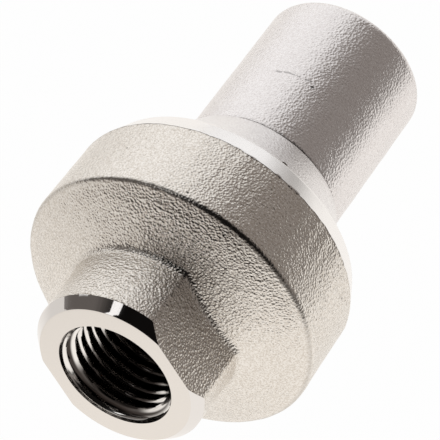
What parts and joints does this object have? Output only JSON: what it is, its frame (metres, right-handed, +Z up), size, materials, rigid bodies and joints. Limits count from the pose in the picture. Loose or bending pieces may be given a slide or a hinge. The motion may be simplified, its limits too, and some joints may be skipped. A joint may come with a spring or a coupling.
{
  "type": "inline pressure regulator",
  "caption": "Inline pressure regulator with two female ports, a round drum, a plain neck and a sprung hollow piston that closes on a soft seat.",
  "frame": {"origin": "centre of the inlet face, on the flow axis", "axes": "+X along the flow, from the inlet face to the outlet face; +Z up with the part lying level"},
  "size_m": [0.052, 0.034, 0.034],
  "materials": {
    "cast_steel_neck": "blasted casting",
    "cast_steel_drum": "blasted casting with turned edges",
    "turned_steel": "turned",
    "turned_brass": "turned",
    "spring_steel": "drawn",
    "etched_steel": "etched, satin",
    "sintered_bronze": "sintered, matt",
    "seal_rubber": "smooth matt",
    "soft_seal": "smooth matt",
    "white_ptfe": "smooth matt"
  },
  "bodies": {
    "root": {"inlet_housing": "cast_steel_neck", "outlet_housing": "cast_steel_drum", "vent_filter": "sintered_bronze", "strainer_snap_ring": "spring_steel", "inlet_strainer": "etched_steel", "seat_lock_ring": "turned_steel", "seat_carrier": "turned_steel", "seat_pad": "soft_seal", "seat_pad_screw": "turned_steel", "gland_retainer": "turned_steel", "stem_o_ring": "seal_rubber", "stem_backup_ring": "white_ptfe", "stem_guide_bush": "sintered_bronze", "spring_shims": "spring_steel", "main_spring": "spring_steel"},
    "piston": {"piston_head": "turned_brass", "piston_stem": "turned_steel", "stem_snap_ring": "spring_steel", "stem_joint_o_ring": "seal_rubber", "piston_o_ring": "seal_rubber", "piston_guide_ring": "white_ptfe"}
  },
  "joints": [
    {"name": "piston_slide", "type": "slide", "parent": "root", "child": "piston", "axis": [-1, 0, 0], "range_m": [0, 0.0012], "stiffness_N_per_m": 9500, "springref_m": -0.0058, "deforming": ["main_spring"]}
  ]
}
